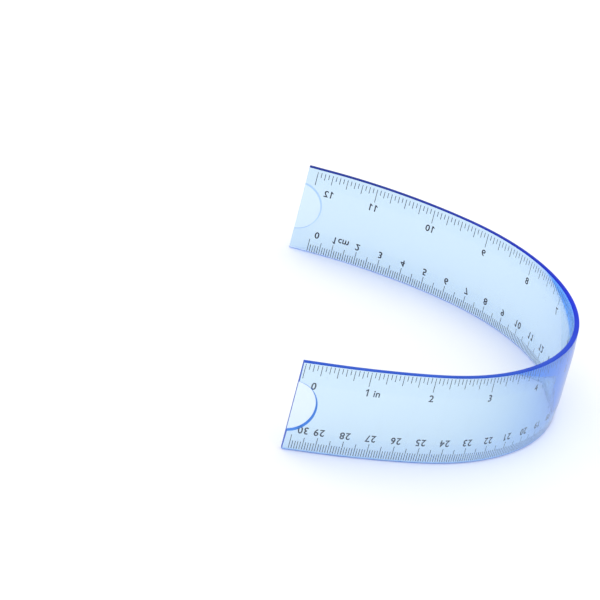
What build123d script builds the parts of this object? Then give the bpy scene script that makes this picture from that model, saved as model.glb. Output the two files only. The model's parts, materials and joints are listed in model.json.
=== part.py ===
from build123d import *
import math
import os

# A flexible transparent plastic ruler, 30 cm and 12 in, standing on a long edge in a U.
# Millimetres, +Z up. The near end runs along +X, the strip turns left round the bend, and
# the far end runs back along -X. The outside of the U is the face that is read. The inside is
# flat and carries the print, which is read through the plastic. The origin is under the middle
# of the whole outline, on the surface that the ruler stands on.
#
# The real strip is one moulding that bends anywhere. It is made here as a chain of straight
# sections, each hinged to the next on a vertical line at the middle of the thickness.

# The strip, measured flat
length = 310.0
width = 37.0
thickness = 2.6
edge_thickness = 2.0
margin_width = 8.6

# The thumb recess in the outer face, one at each end
recess_radius = 10.5
recess_reach = 8.8
recess_floor = 1.3

# The bent shape: a nearly straight near arm, the bend, and a gently curved far arm
near_arm_radius = 285.0
near_arm_length = 54.0
bend_radius = 80.0
bend_length = 186.0
far_arm_radius = 160.0

# The chain: two longer end sections, which hold the recesses, and the ones between them
end_section_length = 16.0
middle_section_count = 23
hinge_gap = 0.06
extra_curl = 5.5

# The print: ticks of ink on the flat inner face
ink_thickness = 0.04
tick_width = 0.24

# The inch scale reads along the top edge from the near end
inch = 25.4
inch_count = 12
inch_start = 1.2
inch_edge_gap = 1.4
inch_tick = 5.9
quarter_inch_tick = 4.2
eighth_inch_tick = 2.9
sixteenth_inch_tick = 2.2

# The centimetre scale reads along the bottom edge from the far end, the other way up
centimetre = 10.0
centimetre_count = 30
centimetre_start = 7.4
centimetre_edge_gap = 0.4
centimetre_tick = 5.6
half_centimetre_tick = 5.0
millimetre_tick = 3.2

half_thickness = thickness / 2
section_count = middle_section_count + 2
middle_section_length = (length - 2 * end_section_length) / middle_section_count


def section_length(number):
    """Length of one section, counted from the near end."""
    if number in (0, section_count - 1):
        return end_section_length
    return middle_section_length


def section_start(number):
    """Distance of a section's first hinge line from the near end, along the strip."""
    return sum(section_length(earlier) for earlier in range(number))


def heading(distance):
    """Direction of the bent strip at a distance from the near end, in radians from +X."""
    bend_end = near_arm_length + bend_length
    near = min(distance, near_arm_length)
    bend = min(max(distance - near_arm_length, 0), bend_length)
    far = max(distance - bend_end, 0)
    return near / near_arm_radius + bend / bend_radius + far / far_arm_radius


def section_heading(number):
    """Direction of a section: that of the strip at the section's middle."""
    return heading(section_start(number) + section_length(number) / 2)


def bend_angle(number):
    """Rest angle at the hinge after a section, in degrees."""
    return math.degrees(section_heading(number + 1) - section_heading(number))


def along_and_inward(number):
    """Unit vectors along a section and towards the inside of the U."""
    angle = section_heading(number)
    along = Vector(math.cos(angle), math.sin(angle), 0)
    return along, Vector(-math.sin(angle), math.cos(angle), 0)


def chain_points():
    """The near end, each hinge line and the far end, in plan, over the middle of the outline."""
    points = [Vector(0, 0, 0)]
    outline = []
    for number in range(section_count):
        along, inward = along_and_inward(number)
        points.append(points[-1] + along * section_length(number))
        outline += [point - inward * half_thickness for point in points[-2:]]
        outline += [point + inward * half_thickness for point in points[-2:]]
    middle_x = (min(p.X for p in outline) + max(p.X for p in outline)) / 2
    middle_y = (min(p.Y for p in outline) + max(p.Y for p in outline)) / 2
    return [point - Vector(middle_x, middle_y, 0) for point in points]


hinge_points = chain_points()


def end_relief(hinge):
    """How far the inner half of a section's end leans back, so that it clears at full curl."""
    return half_thickness * math.tan(math.radians((bend_angle(hinge) + extra_curl) / 2))


def outer_face_span(number):
    """Where a section's outer face begins and ends, from its first hinge line."""
    start = 0 if number == 0 else hinge_gap / 2
    size = section_length(number)
    return start, size if number == section_count - 1 else size - hinge_gap / 2


def inner_face_span(number):
    """Where a section's inner face begins and ends, from its first hinge line."""
    start, finish = outer_face_span(number)
    if number > 0:
        start += end_relief(number - 1)
    if number < section_count - 1:
        finish -= end_relief(number)
    return start, finish


def make_strip_section(number):
    """A straight length of the strip, with its ends relieved for the bend."""
    along, inward = along_and_inward(number)
    origin = hinge_points[number]
    size = section_length(number)
    first = number == 0
    last = number == section_count - 1
    start, finish = outer_face_span(number)
    inner_start, inner_finish = inner_face_span(number)
    outer_edge = half_thickness - edge_thickness
    with BuildPart() as section:
        # Plan of the section, from the outer face to the inner face
        with BuildSketch(Plane(origin, x_dir=along, z_dir=(0, 0, 1))):
            with BuildLine():
                Polyline(
                    (start, -half_thickness),
                    (finish, -half_thickness),
                    (finish, 0),
                    (inner_finish, half_thickness),
                    (inner_start, half_thickness),
                    (start, 0),
                    close=True,
                )
            make_face()
        extrude(amount=width)
        # Cross-section: the outer face slopes back in a band beside each long edge
        with BuildSketch(Plane(origin, x_dir=inward, z_dir=along)):
            with BuildLine():
                Polyline(
                    (half_thickness, 0),
                    (half_thickness, width),
                    (outer_edge, width),
                    (-half_thickness, width - margin_width),
                    (-half_thickness, margin_width),
                    (outer_edge, 0),
                    close=True,
                )
            make_face()
        extrude(amount=size, mode=Mode.INTERSECT)
        # Half-round thumb recess, open to the end of the strip
        if first or last:
            centre = recess_reach - recess_radius
            outer_face = Plane(origin - inward * half_thickness, x_dir=along, z_dir=-inward)
            with BuildSketch(outer_face):
                with Locations((centre if first else size - centre, width / 2)):
                    Circle(recess_radius)
            extrude(amount=recess_floor - thickness, mode=Mode.SUBTRACT)
    return section.part


def inch_tick_length(sixteenth):
    """Length of the tick at a number of sixteenths of an inch."""
    if sixteenth % 16 == 0:
        return inch_tick
    if sixteenth % 4 == 0:
        return quarter_inch_tick
    if sixteenth % 2 == 0:
        return eighth_inch_tick
    return sixteenth_inch_tick


def centimetre_tick_length(millimetre):
    """Length of the tick at a number of millimetres."""
    if millimetre % 10 == 0:
        return centimetre_tick
    if millimetre % 5 == 0:
        return half_centimetre_tick
    return millimetre_tick


def scale_plane(number, edge_up):
    """Plane on the inner face, facing out through the strip.

    Its X runs along the scale beside the top or the bottom edge, and its Y towards that edge.
    """
    along, inward = along_and_inward(number)
    to_inner_face = inward * half_thickness
    if edge_up:
        origin = hinge_points[number] + to_inner_face + Vector(0, 0, width)
        return Plane(origin, x_dir=along, z_dir=-inward)
    return Plane(hinge_points[number + 1] + to_inner_face, x_dir=-along, z_dir=-inward)


def print_ticks(plane, face_span, size, zero, pitch, count, tick_length, edge_gap):
    """Ticks that fall on a section of a given size, with the scale's zero at a given place.

    A tick beside a hinge keeps to the inner face of its own section.
    """
    lowest = face_span[0] + tick_width / 2
    highest = face_span[1] - tick_width / 2
    places = {}
    for tick in range(count + 1):
        place = zero + tick * pitch
        if 0 <= place < size:
            spot = (min(max(place, lowest), highest), -edge_gap)
            places.setdefault(tick_length(tick), []).append(spot)
    for tick_size, group in places.items():
        with BuildSketch(plane) as ticks:
            with Locations(*group):
                Rectangle(tick_width, tick_size, align=(Align.CENTER, Align.MAX))
        extrude(ticks.sketch, amount=-ink_thickness)


def make_scale_marks(number):
    """The ink of both scales on one section."""
    size = section_length(number)
    start, finish = inner_face_span(number)
    centimetre_side_start = length - section_start(number) - size
    with BuildPart() as marks:
        print_ticks(
            scale_plane(number, edge_up=True),
            (start, finish),
            size,
            inch_start - section_start(number),
            inch / 16,
            inch_count * 16,
            inch_tick_length,
            inch_edge_gap,
        )
        print_ticks(
            scale_plane(number, edge_up=False),
            (size - finish, size - start),
            size,
            centimetre_start - centimetre_side_start,
            centimetre / 10,
            centimetre_count * 10,
            centimetre_tick_length,
            centimetre_edge_gap,
        )
    return marks.part


os.makedirs("parts", exist_ok=True)
for number in range(section_count):
    strip_section = make_strip_section(number)
    strip_section.label = f"strip_section_{number + 1:02d}"
    export_step(strip_section, f"parts/{strip_section.label}.step")
    scale_marks = make_scale_marks(number)
    scale_marks.label = f"scale_marks_{number + 1:02d}"
    export_step(scale_marks, f"parts/{scale_marks.label}.step")
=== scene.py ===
import json
import math

import bmesh
import bpy
from mathutils import Matrix, Quaternion, Vector


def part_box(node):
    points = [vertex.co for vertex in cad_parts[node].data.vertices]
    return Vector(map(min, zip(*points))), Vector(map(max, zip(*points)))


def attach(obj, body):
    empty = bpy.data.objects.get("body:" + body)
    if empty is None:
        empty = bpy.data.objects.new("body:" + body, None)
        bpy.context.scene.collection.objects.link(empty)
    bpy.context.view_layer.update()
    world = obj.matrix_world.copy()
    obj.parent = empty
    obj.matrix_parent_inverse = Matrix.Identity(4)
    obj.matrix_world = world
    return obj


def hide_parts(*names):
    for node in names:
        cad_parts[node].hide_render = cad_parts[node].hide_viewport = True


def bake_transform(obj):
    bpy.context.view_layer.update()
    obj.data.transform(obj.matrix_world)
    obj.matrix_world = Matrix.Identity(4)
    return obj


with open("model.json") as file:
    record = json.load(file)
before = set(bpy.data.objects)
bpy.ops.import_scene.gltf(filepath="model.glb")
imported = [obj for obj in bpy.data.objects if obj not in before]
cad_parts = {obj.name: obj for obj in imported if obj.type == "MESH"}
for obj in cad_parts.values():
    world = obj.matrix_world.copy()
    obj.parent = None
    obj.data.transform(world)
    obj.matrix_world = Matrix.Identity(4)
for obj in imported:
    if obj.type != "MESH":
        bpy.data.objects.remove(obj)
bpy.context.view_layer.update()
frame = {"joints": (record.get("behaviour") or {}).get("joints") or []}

MM = 0.001
scene = bpy.context.scene


# ---------------------------------------------------------------------------------------
# The bent line of the ruler
# The strip is moulded flat and bends anywhere. The frame gives it as straight sections on
# vertical hinges, and the real line is the smooth one that touches each section at its
# middle. Every piece below is made flat, then laid along this line.
# ---------------------------------------------------------------------------------------
joints = frame["joints"]
joint_count = len(joints)
hinges = [Vector((j["pos_m"][0], j["pos_m"][1], 0)) for j in joints]
first_span = hinges[1] - hinges[0]
pitch = first_span.length
end_length = 16 * MM
length = 2 * end_length + (joint_count - 1) * pitch

# a hinge's lower limit lays the strip straight there, so it gives the bend at rest
bends = [math.radians(-j["range_deg"][0]) for j in joints]

# direction of each section, from +X towards +Y
directions = [math.atan2(first_span.y, first_span.x) - bends[0]]
for bend in bends:
    directions.append(directions[-1] + bend)


def along(angle):
    """Unit vector along the strip."""
    return Vector((math.cos(angle), math.sin(angle), 0))


def inward(angle):
    """Unit vector towards the inside of the bend."""
    return Vector((-math.sin(angle), math.cos(angle), 0))


# Stretch n is bent over hinge n, half a section to each side of it. Stretch -1 is the rest of
# the near end, and stretch joint_count is the rest of the far end, which are both straight.
stretches = range(-1, joint_count + 1)
stretch_starts = [end_length + (n - 0.5) * pitch for n in range(joint_count)]
stretch_ends = [start + pitch for start in stretch_starts]
near_end = hinges[0] - along(directions[0]) * end_length


def stretch_span(stretch):
    """Where a stretch begins and ends along the flat strip."""
    if stretch < 0:
        return 0, stretch_starts[0]
    if stretch >= joint_count:
        return stretch_ends[-1], length
    return stretch_starts[stretch], stretch_ends[stretch]


def bent(point):
    """Where a point of the flat strip goes: x along, y inwards from mid-thickness, z up."""
    x, y, z = point
    if x <= stretch_starts[0]:
        place = near_end + along(directions[0]) * x + inward(directions[0]) * y
    elif x >= stretch_ends[-1]:
        past_hinge = x - length + end_length
        place = hinges[-1] + along(directions[-1]) * past_hinge + inward(directions[-1]) * y
    else:
        n = min(int((x - stretch_starts[0]) / pitch), joint_count - 1)
        radius = pitch / 2 / math.tan(bends[n] / 2)
        turned = directions[n] + bends[n] * (x - stretch_starts[n]) / pitch
        touch = hinges[n] - along(directions[n]) * pitch / 2
        centre = touch + inward(directions[n]) * radius
        place = centre - inward(turned) * (radius - y)
    return Vector((place.x, place.y, z))


def body_name(section):
    """Body of a section, counted from 0 at the near end."""
    return f"section_{section + 1:02d}"


def follow(piece, stretch):
    """Fix a piece to its stretch: an end rides on its end section, and the rest has its place
    baked into its mesh.
    """
    if stretch < 0:
        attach(piece, body_name(0))
    elif stretch >= joint_count:
        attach(piece, body_name(joint_count))
    else:
        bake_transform(piece)


def replaced_number(stretch):
    """Number of the section that a stretch stands for, counted from 1 at the near end."""
    return min(stretch + 1, joint_count) + 1


# ---------------------------------------------------------------------------------------
# The strip
# One moulding of soft, clear, pale blue PVC. A band beside each long edge slopes back on
# the outer face, the long edges are slightly rounded, and each end has a half-round
# thumb recess. It is made stretch by stretch, and joins where the plastic is continuous.
# ---------------------------------------------------------------------------------------
lowest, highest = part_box("strip_section_01")
width = (highest - lowest).z
thickness = 2.6 * MM
edge_thickness = 2.0 * MM
margin = 8.6 * MM
edge_rounding = 0.3 * MM
edge_rounding_segments = 3
long_edge_zone = 1 * MM

recess_radius = 10.5 * MM
recess_reach = 8.8 * MM
recess_floor = 1.3 * MM
recess_wall_slope = 0.3 * MM
recess_segments = 128
lip_width = 0.2 * MM
lip_depth = 0.06 * MM

cuts_per_stretch = 8
seam_strip = 0.02 * MM
smooth_limit = math.radians(35)
touching = 0.001 * MM
merging = 0.0001 * MM

plastic_ior = 1.5
slant_power = 2
guided_blue = (0.1, 0.33, 0.9)
milk_colour = (0.8, 0.9, 0.95)
wave_scale = 55
wave_height = 0.4 * MM

edge_ior = 1.12
edge_roughness = 0.3
# how far each way along Y the painted light and shade on the edges runs
painted_light_reach = 80 * MM
streak_scale = 90
streak_tint = (0.45, 0.6, 0.8)


def new_material(name):
    """An empty node material, with its nodes, links and output."""
    material = bpy.data.materials.new(name)
    material.use_nodes = True
    nodes = material.node_tree.nodes
    nodes.clear()
    output = nodes.new("ShaderNodeOutputMaterial")
    return material, nodes, material.node_tree.links, output


def noise_over_piece(nodes, links, scale, detail):
    """A random pattern that stays with the piece, about as many waves a metre as its scale."""
    place = nodes.new("ShaderNodeTexCoord")
    noise = nodes.new("ShaderNodeTexNoise")
    noise.inputs["Scale"].default_value = scale
    noise.inputs["Detail"].default_value = detail
    links.new(place.outputs["Object"], noise.inputs["Vector"])
    return noise.outputs["Fac"]


def mixed(nodes, links, share, first, second):
    """One shader from two. The share of the second is a number or a socket."""
    mix = nodes.new("ShaderNodeMixShader")
    if isinstance(share, bpy.types.NodeSocket):
        links.new(share, mix.inputs["Fac"])
    else:
        mix.inputs["Fac"].default_value = share
    links.new(first, mix.inputs[1])
    links.new(second, mix.inputs[2])
    return mix.outputs["Shader"]


def clear_plastic(name, straight_tint, slanting_tint, roughness, waviness, haze):
    """One face of the clear plastic: it refracts, and shows more colour where seen aslant."""
    material, nodes, links, output = new_material(name)
    slant = nodes.new("ShaderNodeLayerWeight")
    slant.inputs["Blend"].default_value = 0.5
    depth = nodes.new("ShaderNodeMath")
    depth.operation = "POWER"
    depth.inputs[1].default_value = slant_power
    links.new(slant.outputs["Facing"], depth.inputs[0])
    tint = nodes.new("ShaderNodeMix")
    tint.data_type = "RGBA"
    tint.inputs["A"].default_value = (*straight_tint, 1)
    tint.inputs["B"].default_value = (*slanting_tint, 1)
    links.new(depth.outputs["Value"], tint.inputs["Factor"])
    bends_light = nodes.new("ShaderNodeBsdfRefraction")
    bends_light.inputs["IOR"].default_value = plastic_ior
    bends_light.inputs["Roughness"].default_value = 0.0
    links.new(tint.outputs["Result"], bends_light.inputs["Color"])

    # the faint haze of soft plastic, which greys what is seen through it
    milk = nodes.new("ShaderNodeBsdfDiffuse")
    milk.inputs["Color"].default_value = (*milk_colour, 1)
    clouded = mixed(nodes, links, haze, bends_light.outputs["BSDF"], milk.outputs["BSDF"])

    # the gloss of a moulded face that is not quite flat
    bump = nodes.new("ShaderNodeBump")
    bump.inputs["Strength"].default_value = waviness
    bump.inputs["Distance"].default_value = wave_height
    links.new(noise_over_piece(nodes, links, wave_scale, 2), bump.inputs["Height"])
    gloss = nodes.new("ShaderNodeBsdfGlossy")
    gloss.inputs["Roughness"].default_value = roughness
    links.new(bump.outputs["Normal"], gloss.inputs["Normal"])

    # light that a face would throw back into the plastic runs on through it, deep blue
    guided = nodes.new("ShaderNodeBsdfTransparent")
    guided.inputs["Color"].default_value = (*guided_blue, 1)
    side = nodes.new("ShaderNodeNewGeometry")
    thrown_back = mixed(
        nodes, links, side.outputs["Backfacing"], gloss.outputs["BSDF"], guided.outputs["BSDF"]
    )
    fresnel = nodes.new("ShaderNodeFresnel")
    fresnel.inputs["IOR"].default_value = plastic_ior
    seen = mixed(nodes, links, fresnel.outputs["Fac"], clouded, thrown_back)

    # the light that falls through on to the table keeps going straight
    shade = nodes.new("ShaderNodeBsdfTransparent")
    links.new(tint.outputs["Result"], shade.inputs["Color"])
    rays = nodes.new("ShaderNodeLightPath")
    surface = mixed(nodes, links, rays.outputs["Is Shadow Ray"], seen, shade.outputs["BSDF"])
    links.new(surface, output.inputs["Surface"])
    return material


def deep_edge(name, near_colour_and_light, bend_colour_and_light, far_colour_and_light, glow, see_through):
    """An edge face: deep blue from outside, with painted light and shade running along it, and
    lit through when it is seen from within.
    """
    material, nodes, links, output = new_material(name)
    # painted light and shade: the edge's blue runs from one colour on the near arm, through
    # another at the bend, to a third on the far arm, set by how the light falls there, while
    # the plastic is the same all along
    place = nodes.new("ShaderNodeTexCoord")
    across = nodes.new("ShaderNodeSeparateXYZ")
    links.new(place.outputs["Object"], across.inputs["Vector"])
    reach = nodes.new("ShaderNodeMapRange")
    reach.inputs["From Min"].default_value = -painted_light_reach
    reach.inputs["From Max"].default_value = painted_light_reach
    links.new(across.outputs["Y"], reach.inputs["Value"])
    colour = nodes.new("ShaderNodeValToRGB")
    ramp = colour.color_ramp.elements
    ramp[0].color = (*near_colour_and_light, 1)
    ramp[1].color = (*far_colour_and_light, 1)
    ramp.new(0.5).color = (*bend_colour_and_light, 1)
    links.new(reach.outputs["Result"], colour.inputs["Fac"])
    depth = nodes.new("ShaderNodeMix")
    depth.data_type = "RGBA"
    depth.blend_type = "MULTIPLY"
    depth.inputs["B"].default_value = (*streak_tint, 1)
    links.new(noise_over_piece(nodes, links, streak_scale, 3), depth.inputs["Factor"])
    links.new(colour.outputs["Color"], depth.inputs["A"])
    body = nodes.new("ShaderNodeBsdfPrincipled")
    body.inputs["Roughness"].default_value = edge_roughness
    body.inputs["IOR"].default_value = edge_ior
    links.new(depth.outputs["Result"], body.inputs["Base Color"])
    through = nodes.new("ShaderNodeBsdfTransparent")
    links.new(depth.outputs["Result"], through.inputs["Color"])
    outside = mixed(nodes, links, see_through, body.outputs["BSDF"], through.outputs["BSDF"])
    inside = nodes.new("ShaderNodeBsdfTransparent")
    inside.inputs["Color"].default_value = (*glow, 1)
    side = nodes.new("ShaderNodeNewGeometry")
    surface = mixed(nodes, links, side.outputs["Backfacing"], outside, inside.outputs["BSDF"])
    links.new(surface, output.inputs["Surface"])
    return material


def open_seam(name):
    """Where one stretch goes on into the next there is no surface at all."""
    material, nodes, links, output = new_material(name)
    nothing = nodes.new("ShaderNodeBsdfTransparent")
    links.new(nothing.outputs["BSDF"], output.inputs["Surface"])
    return material


strip_materials = [
    clear_plastic(
        "clear_blue_band",
        straight_tint=(0.685, 0.84, 0.93),
        slanting_tint=(0.26, 0.57, 0.9),
        roughness=0.03,
        waviness=0.05,
        haze=0.07,
    ),
    # painted shade: the sloping margin is the same plastic as the band, and thinner, yet it is
    # given a deeper blue
    clear_plastic(
        "shaded_clear_blue_margin",
        straight_tint=(0.665, 0.825, 0.925),
        slanting_tint=(0.19, 0.49, 0.9),
        roughness=0.03,
        waviness=0.05,
        haze=0.07,
    ),
    clear_plastic(
        "inner_face",
        straight_tint=(0.97, 0.985, 1.0),
        slanting_tint=(0.9, 0.95, 1.0),
        roughness=0.03,
        waviness=0.05,
        haze=0.0,
    ),
    # The edges' colours hold painted light and shade: the top edge, the bottom edge, the
    # underside and the ends are all the same plastic, yet each is given its own blue, and each
    # changes between the near arm, the bend and the far arm.
    deep_edge(
        "top_edge",
        near_colour_and_light=(0.04, 0.12, 0.6),
        bend_colour_and_light=(0.002, 0.025, 0.68),
        far_colour_and_light=(0.015, 0.04, 0.3),
        glow=(0.1, 0.24, 0.8),
        see_through=0.03,
    ),
    deep_edge(
        "standing_edge",
        near_colour_and_light=(0.16, 0.32, 0.7),
        bend_colour_and_light=(0.3, 0.5, 0.85),
        far_colour_and_light=(0.7, 0.8, 0.95),
        glow=(0.7, 0.84, 0.97),
        see_through=0.4,
    ),
    deep_edge(
        "underside",
        near_colour_and_light=(0.75, 0.87, 0.97),
        bend_colour_and_light=(0.75, 0.87, 0.97),
        far_colour_and_light=(0.8, 0.9, 0.98),
        glow=(0.9, 0.96, 1.0),
        see_through=0.8,
    ),
    deep_edge(
        "end_edge",
        near_colour_and_light=(0.03, 0.11, 0.56),
        bend_colour_and_light=(0.1, 0.3, 0.8),
        far_colour_and_light=(0.2, 0.4, 0.8),
        glow=(0.2, 0.4, 0.9),
        see_through=0.15,
    ),
    clear_plastic(
        "thin_recess",
        straight_tint=(0.84, 0.93, 0.98),
        slanting_tint=(0.66, 0.83, 0.97),
        roughness=0.06,
        waviness=0.08,
        haze=0.04,
    ),
    # painted shade: the far recess is the same thin plastic as the near one, and is given a
    # deeper blue
    clear_plastic(
        "shaded_far_recess",
        straight_tint=(0.73, 0.87, 0.95),
        slanting_tint=(0.5, 0.73, 0.94),
        roughness=0.06,
        waviness=0.08,
        haze=0.06,
    ),
    # painted light and shade: the recess wall is given a deep blue at the near end and a pale
    # one at the far end, though both are the same plastic
    deep_edge(
        "recess_wall",
        near_colour_and_light=(0.13, 0.34, 0.82),
        bend_colour_and_light=(0.3, 0.5, 0.9),
        far_colour_and_light=(0.62, 0.77, 0.95),
        glow=(0.4, 0.6, 0.93),
        see_through=0.3,
    ),
    open_seam("continuous_plastic"),
]
# the place of each finish in that list
BAND, MARGIN, INNER, TOP_EDGE, STANDING_EDGE, UNDERSIDE = range(6)
END_EDGE, RECESS, SHADED_FAR_RECESS, WALL, SEAM = range(6, 11)


def from_long_edge(z):
    """Distance of a height from the nearer long edge."""
    return min(z, width - z)


def strip_prism(begin, end):
    """A flat length of the strip's cross-section, with rounded long edges."""
    mesh = bmesh.new()
    half = thickness / 2
    outer = half - edge_thickness
    profile = [
        (half, 0),
        (half, width),
        (outer, width),
        (-half, width - margin),
        (-half, margin),
        (outer, 0),
    ]
    corners = [mesh.verts.new((begin, y, z)) for y, z in profile]
    face = mesh.faces.new(corners)
    grown = bmesh.ops.extrude_face_region(mesh, geom=[face])
    moved = [g for g in grown["geom"] if isinstance(g, bmesh.types.BMVert)]
    bmesh.ops.translate(mesh, vec=(end - begin, 0, 0), verts=moved)
    long_edges = [
        e
        for e in mesh.edges
        if abs(e.verts[0].co.x - e.verts[1].co.x) > (end - begin) / 2
        and from_long_edge(e.verts[0].co.z) < long_edge_zone
    ]
    bmesh.ops.bevel(
        mesh,
        geom=long_edges,
        offset=edge_rounding,
        segments=edge_rounding_segments,
        profile=0.5,
        affect="EDGES",
        material=-1,
    )
    bmesh.ops.recalc_face_normals(mesh, faces=mesh.faces)
    return mesh


def cut(mesh, point, normal, clear_outer=False):
    """Cut a mesh by a plane, and take away what is beyond it if asked. Gives the new edges."""
    made = bmesh.ops.bisect_plane(
        mesh,
        geom=[*mesh.verts, *mesh.edges, *mesh.faces],
        dist=merging,
        plane_co=point,
        plane_no=normal,
        clear_outer=clear_outer,
    )
    return [g for g in made["geom_cut"] if isinstance(g, bmesh.types.BMEdge)]


def recess_cutter(centre_x):
    """A round tool the shape of the recess: its floor, its wall and its eased lip."""
    wall_height = recess_floor - lip_depth
    cutter = bmesh.new()
    bmesh.ops.create_cone(
        cutter,
        cap_ends=True,
        segments=recess_segments,
        radius1=recess_radius - recess_wall_slope,
        radius2=recess_radius,
        depth=wall_height,
    )
    mouth = [face for face in cutter.faces if face.calc_center_median().z > wall_height / 4]
    grown = bmesh.ops.extrude_face_region(cutter, geom=mouth)["geom"]
    bmesh.ops.delete(cutter, geom=mouth, context="FACES_ONLY")
    # the lip goes on past the outer face at its own slope, so that the tool cuts right out
    ring = [g for g in grown if isinstance(g, bmesh.types.BMVert)]
    growth = 1 + 2 * lip_width / recess_radius
    bmesh.ops.scale(cutter, vec=(growth, growth, 1), verts=ring)
    bmesh.ops.translate(cutter, vec=(0, 0, 2 * lip_depth), verts=ring)
    bmesh.ops.recalc_face_normals(cutter, faces=cutter.faces)
    turn = Matrix.Rotation(math.radians(90), 3, "X")
    bmesh.ops.rotate(cutter, cent=(0, 0, 0), matrix=turn, verts=cutter.verts)
    floor_level = thickness / 2 - recess_floor
    middle = (centre_x, floor_level - wall_height / 2, width / 2)
    bmesh.ops.translate(cutter, vec=middle, verts=cutter.verts)
    return cutter


def scene_object(name, mesh):
    """A mesh as an object in the scene."""
    data = bpy.data.meshes.new(name)
    mesh.to_mesh(data)
    mesh.free()
    made = bpy.data.objects.new(name, data)
    scene.collection.objects.link(made)
    return made


def sink_recess(flat, centre_x):
    """Cut the half-round thumb recess into the outer face of an end."""
    blank = scene_object("end_blank", flat)
    tool = scene_object("recess_cutter", recess_cutter(centre_x))
    sink = blank.modifiers.new("sink", "BOOLEAN")
    sink.operation = "DIFFERENCE"
    sink.solver = "EXACT"
    sink.object = tool
    bpy.context.view_layer.update()
    evaluated = blank.evaluated_get(bpy.context.evaluated_depsgraph_get())
    sunk = bmesh.new()
    sunk.from_mesh(evaluated.to_mesh())
    bpy.data.objects.remove(blank)
    bpy.data.objects.remove(tool)
    return sunk


def strip_finish(face, begin, end):
    """Which finish a face of the flat strip has, by where it lies and how it faces."""
    middle = face.calc_center_median()
    normal = face.normal
    faces_along = abs(normal.x) > 0.999
    faces_edgeways = abs(normal.z) > 0.25
    faces_down = normal.z < -0.99
    faces_inward = normal.y > 0.9
    is_steep = abs(normal.x) + abs(normal.z) > 0.2
    if faces_along and min(middle.x - begin, end - middle.x) < touching:
        return END_EDGE if min(middle.x, length - middle.x) < touching else SEAM
    if faces_edgeways and from_long_edge(middle.z) < long_edge_zone:
        if middle.z > width / 2:
            return TOP_EDGE
        return UNDERSIDE if faces_down else STANDING_EDGE
    if abs(middle.y - thickness / 2 + recess_floor) < touching:
        # the recess at the far end takes the copy with painted shade
        return RECESS if middle.x < length / 2 else SHADED_FAR_RECESS
    if faces_inward:
        return INNER
    if is_steep:
        return WALL
    return MARGIN if from_long_edge(middle.z) < margin else BAND


def laid_piece(name, flat, materials):
    """A flat mesh laid along the bent line, as an object with its materials."""
    for vertex in flat.verts:
        vertex.co = bent(vertex.co)
    piece = scene_object(name, flat)
    for material in materials:
        piece.data.materials.append(material)
    return piece


for stretch in stretches:
    begin, end = stretch_span(stretch)
    flat = strip_prism(begin, end)
    if stretch < 0:
        flat = sink_recess(flat, recess_reach - recess_radius)
    elif stretch >= joint_count:
        flat = sink_recess(flat, length - recess_reach + recess_radius)
    else:
        span = end - begin
        steps = [begin + span * n / cuts_per_stretch for n in range(1, cuts_per_stretch)]
        for place in (begin + seam_strip, *steps, end - seam_strip):
            cut(flat, (place, 0, 0), (1, 0, 0))
    # the inner face and the ends are divided on the fold lines, as the outer face is
    for fold in (margin, width - margin):
        cut(flat, (0, 0, fold), (0, 0, 1))
    flat.normal_update()
    for face in flat.faces:
        face.material_index = strip_finish(face, begin, end)
        face.smooth = True
    for edge in flat.edges:
        if len(edge.link_faces) == 2:
            one, two = edge.link_faces
            edge.smooth = one.normal.angle(two.normal) < smooth_limit
    strip_piece = laid_piece(f"strip_{stretch + 2:02d}", flat, strip_materials)
    follow(strip_piece, stretch)
    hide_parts(f"strip_section_{replaced_number(stretch):02d}")


# ---------------------------------------------------------------------------------------
# The print
# Two scales in dark ink on the flat inner face, read through the plastic from outside: inches
# along the top edge from the near end, and centimetres along the bottom edge from the far
# end, upside down. The ticks and numerals are a thin film of ink.
# ---------------------------------------------------------------------------------------
ink_thickness = 0.01 * MM
ink_spread = 0.085 * MM
tick_width = 0.26 * MM
label_height = 2.9 * MM
label_half_width = 5 * MM
numeral_pitch = 2.2 * MM
capital_height = 0.73
unit_shift = 3.8 * MM

inch = 25.4 * MM
inch_count = 12
inch_start = 1.2 * MM
inch_gap = 1.4 * MM
inch_label_gap = 1.0 * MM
inch_tick, quarter_tick, eighth_tick, sixteenth_tick = 5.9 * MM, 4.2 * MM, 2.9 * MM, 2.2 * MM
first_inch_shift = 4.9 * MM
last_inch_shift = -6.4 * MM

centimetre = 10 * MM
centimetre_count = 30
centimetre_start = 7.4 * MM
centimetre_gap = 0.4 * MM
centimetre_label_gap = 0.7 * MM
centimetre_tick, half_tick, millimetre_tick = 5.6 * MM, 5.0 * MM, 3.2 * MM
first_centimetre_shift = 2.5 * MM
last_centimetre_shift = -3.9 * MM


def speckled(name, scale, detail, dark, light, roughness):
    """An opaque finish that wanders a little between two colours."""
    material, nodes, links, output = new_material(name)
    shade = nodes.new("ShaderNodeMix")
    shade.data_type = "RGBA"
    shade.inputs["A"].default_value = (*dark, 1)
    shade.inputs["B"].default_value = (*light, 1)
    links.new(noise_over_piece(nodes, links, scale, detail), shade.inputs["Factor"])
    body = nodes.new("ShaderNodeBsdfPrincipled")
    body.inputs["Roughness"].default_value = roughness
    links.new(shade.outputs["Result"], body.inputs["Base Color"])
    links.new(body.outputs["BSDF"], output.inputs["Surface"])
    return material


printing_ink = speckled(
    "printing_ink",
    scale=900,
    detail=3,
    dark=(0.004, 0.006, 0.016),
    light=(0.012, 0.017, 0.04),
    roughness=0.45,
)


def inch_tick_length(sixteenth):
    """Length of the tick at a number of sixteenths of an inch."""
    if sixteenth % 16 == 0:
        return inch_tick
    if sixteenth % 4 == 0:
        return quarter_tick
    return eighth_tick if sixteenth % 2 == 0 else sixteenth_tick


def centimetre_tick_length(millimetre):
    """Length of the tick at a number of millimetres."""
    if millimetre % 10 == 0:
        return centimetre_tick
    return half_tick if millimetre % 5 == 0 else millimetre_tick


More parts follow.
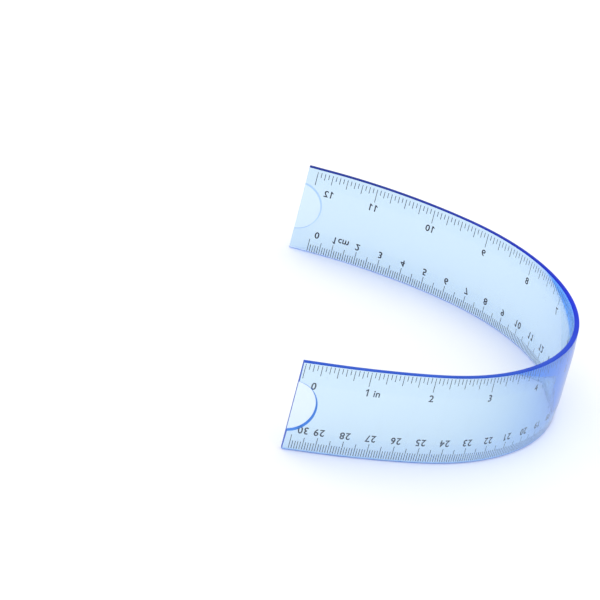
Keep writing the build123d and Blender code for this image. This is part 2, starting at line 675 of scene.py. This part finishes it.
def add_tick(mesh, x, z_low, z_high):
    """One bar of ink, with its back at y = 0."""
    made = bmesh.ops.create_cube(mesh, size=1)["verts"]
    bmesh.ops.scale(mesh, vec=(tick_width, ink_thickness, z_high - z_low), verts=made)
    middle = (x, ink_thickness / 2, (z_low + z_high) / 2)
    bmesh.ops.translate(mesh, vec=middle, verts=made)


# outline of the numeral 1, over its height: a stem with a slanting flag
one_outline = [
    (-0.01, 0),
    (0.125, 0),
    (0.125, 1),
    (0.03, 1),
    (-0.22, 0.81),
    (-0.22, 0.69),
    (-0.01, 0.81),
]


def numeral_one(shape):
    """The numeral 1, flat and centred on its foot."""
    corners = [shape.verts.new((x, y, -ink_thickness / 2)) for x, y in one_outline]
    bmesh.ops.scale(shape, vec=(label_height, label_height, 1), verts=corners)
    grown = bmesh.ops.extrude_face_region(shape, geom=[shape.faces.new(corners)])
    moved = [g for g in grown["geom"] if isinstance(g, bmesh.types.BMVert)]
    bmesh.ops.translate(shape, vec=(0, 0, ink_thickness), verts=moved)


def lettering(shape, text):
    """A numeral or unit name in the plain letter, flat and centred on its foot."""
    curve = bpy.data.curves.new("label", "FONT")
    curve.body = text
    curve.align_x = "CENTER"
    curve.size = label_height / capital_height
    curve.extrude = ink_thickness / 2
    curve.resolution_u = 3
    writer = bpy.data.objects.new("label", curve)
    scene.collection.objects.link(writer)
    bpy.context.view_layer.update()
    evaluated = writer.evaluated_get(bpy.context.evaluated_depsgraph_get())
    data = bpy.data.meshes.new_from_object(evaluated)
    bpy.data.objects.remove(writer)
    shape.from_mesh(data)
    bpy.data.meshes.remove(data)
    bmesh.ops.remove_doubles(shape, verts=shape.verts, dist=merging)


def inked(text):
    """A numeral or unit name as it prints: the ink spreads a little past the outline."""
    shape = bmesh.new()
    if text == "1":
        numeral_one(shape)
    else:
        lettering(shape, text)
    bmesh.ops.recalc_face_normals(shape, faces=shape.faces)
    shape.normal_update()
    for vertex in shape.verts:
        outward = Vector((vertex.normal.x, vertex.normal.y, 0))
        vertex.co += outward.normalized() * ink_spread
    data = bpy.data.meshes.new("inked")
    shape.to_mesh(data)
    shape.free()
    return data


inked_shapes = {text: inked(text) for text in (*"0123456789", "in", "cm")}


def add_label(mesh, text, x, z_foot, upside_down):
    """A label in ink that reads from outside, with its back at y = 0."""
    side = -1 if upside_down else 1
    signs = list(text) if text.isdigit() else [text]
    for n, sign in enumerate(signs):
        before = set(mesh.verts)
        mesh.from_mesh(inked_shapes[sign])
        shift = (n - (len(signs) - 1) / 2) * numeral_pitch
        for vertex in set(mesh.verts) - before:
            across, up, lift = vertex.co
            place = x + side * (across + shift)
            vertex.co = (place, ink_thickness / 2 - lift, z_foot + side * up)


# the first and last numerals stand inside their own ticks, to stay on the strip
inch_labels = [(str(n), inch_start + n * inch) for n in range(1, inch_count)]
inch_labels += [
    ("0", inch_start + first_inch_shift),
    (str(inch_count), inch_start + inch_count * inch + last_inch_shift),
    ("in", inch_start + inch + unit_shift),
]
centimetre_labels = [
    (str(n), centimetre_start + n * centimetre) for n in range(1, centimetre_count)
]
centimetre_labels += [
    ("0", centimetre_start + first_centimetre_shift),
    (
        str(centimetre_count),
        centimetre_start + centimetre_count * centimetre + last_centimetre_shift,
    ),
    ("cm", centimetre_start + centimetre + unit_shift),
]
inch_foot = width - inch_gap - inch_tick - inch_label_gap - label_height
centimetre_foot = centimetre_gap + centimetre_tick + centimetre_label_gap + label_height
labels = [(text, x, inch_foot, False) for text, x in inch_labels]
labels += [(text, length - x, centimetre_foot, True) for text, x in centimetre_labels]

for stretch in stretches:
    begin, end = stretch_span(stretch)
    flat = bmesh.new()
    for text, x, z_foot, upside_down in labels:
        if begin - label_half_width < x < end + label_half_width:
            add_label(flat, text, x, z_foot, upside_down)
    # a label that crosses into the next stretch is cut there, and its ends are closed
    for place, beyond in ((begin, -1), (end, 1)):
        rims = cut(flat, (place, 0, 0), (beyond, 0, 0), clear_outer=True)
        bmesh.ops.holes_fill(flat, edges=rims, sides=0)
    for tick in range(inch_count * 16 + 1):
        x = inch_start + tick * inch / 16
        if begin <= x < end:
            add_tick(flat, x, width - inch_gap - inch_tick_length(tick), width - inch_gap)
    for tick in range(centimetre_count * 10 + 1):
        x = length - centimetre_start - tick * MM
        if begin <= x < end:
            add_tick(flat, x, centimetre_gap, centimetre_gap + centimetre_tick_length(tick))
    bmesh.ops.translate(flat, vec=(0, thickness / 2, 0), verts=flat.verts)
    ink_piece = laid_piece(f"print_{stretch + 2:02d}", flat, [printing_ink])
    follow(ink_piece, stretch)
    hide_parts(f"scale_marks_{replaced_number(stretch):02d}")


# ---------------------------------------------------------------------------------------
# The table, the light and the camera
# A smooth white table top under broad soft light from above and behind. The ruler stands
# on it by its own bend, fixed to nothing.
# ---------------------------------------------------------------------------------------
table_size = 12.0
table_drop = 0.2 * MM

table_white = speckled(
    "table_white",
    scale=12,
    detail=2,
    dark=(0.952, 0.957, 0.98),
    light=(0.965, 0.968, 0.985),
    roughness=0.6,
)
table_top = bmesh.new()
bmesh.ops.create_grid(table_top, x_segments=1, y_segments=1, size=table_size / 2)
table = scene_object("table", table_top)
table.data.materials.append(table_white)
table.location = (0, 0, -table_drop)

world = bpy.data.worlds.new("soft_room")
world.use_nodes = True
world.node_tree.nodes["Background"].inputs["Color"].default_value = (0.99, 0.995, 1.0, 1)
world.node_tree.nodes["Background"].inputs["Strength"].default_value = 1.1
scene.world = world


def soft_light(name, place, size, power, colour):
    """A broad square light that shines at the ruler."""
    light = bpy.data.lights.new(name, "AREA")
    light.size = size
    light.energy = power
    light.color = colour
    lamp = bpy.data.objects.new(name, light)
    scene.collection.objects.link(lamp)
    lamp.location = place
    lamp.rotation_euler = (-Vector(place)).to_track_quat("-Z", "Y").to_euler()


soft_light("window", place=(-0.9, 1.0, 1.5), size=0.9, power=3.0, colour=(1.0, 0.99, 0.97))
soft_light("sky", place=(0.3, -0.6, 2.2), size=1.6, power=1.5, colour=(0.96, 0.98, 1.0))

camera_offset = Vector((-292.11, -1283.23, 679.90)) * MM
camera_turn = math.radians(12.514)
camera_dip = math.radians(25.205)
camera_roll = math.radians(14.559)

camera_data = bpy.data.cameras.new("camera")
camera_data.sensor_width = 36
camera_data.lens = 239.816
camera_data.clip_start = 0.05
camera_data.clip_end = 50
camera = bpy.data.objects.new("camera", camera_data)
scene.collection.objects.link(camera)
camera.location = near_end + camera_offset
look = Vector(
    (
        math.sin(camera_turn) * math.cos(camera_dip),
        math.cos(camera_turn) * math.cos(camera_dip),
        -math.sin(camera_dip),
    )
)
level = look.to_track_quat("-Z", "Y")
camera.rotation_mode = "QUATERNION"
camera.rotation_quaternion = level @ Quaternion((0, 0, 1), camera_roll)
scene.camera = camera
scene.view_settings.view_transform = "Standard"
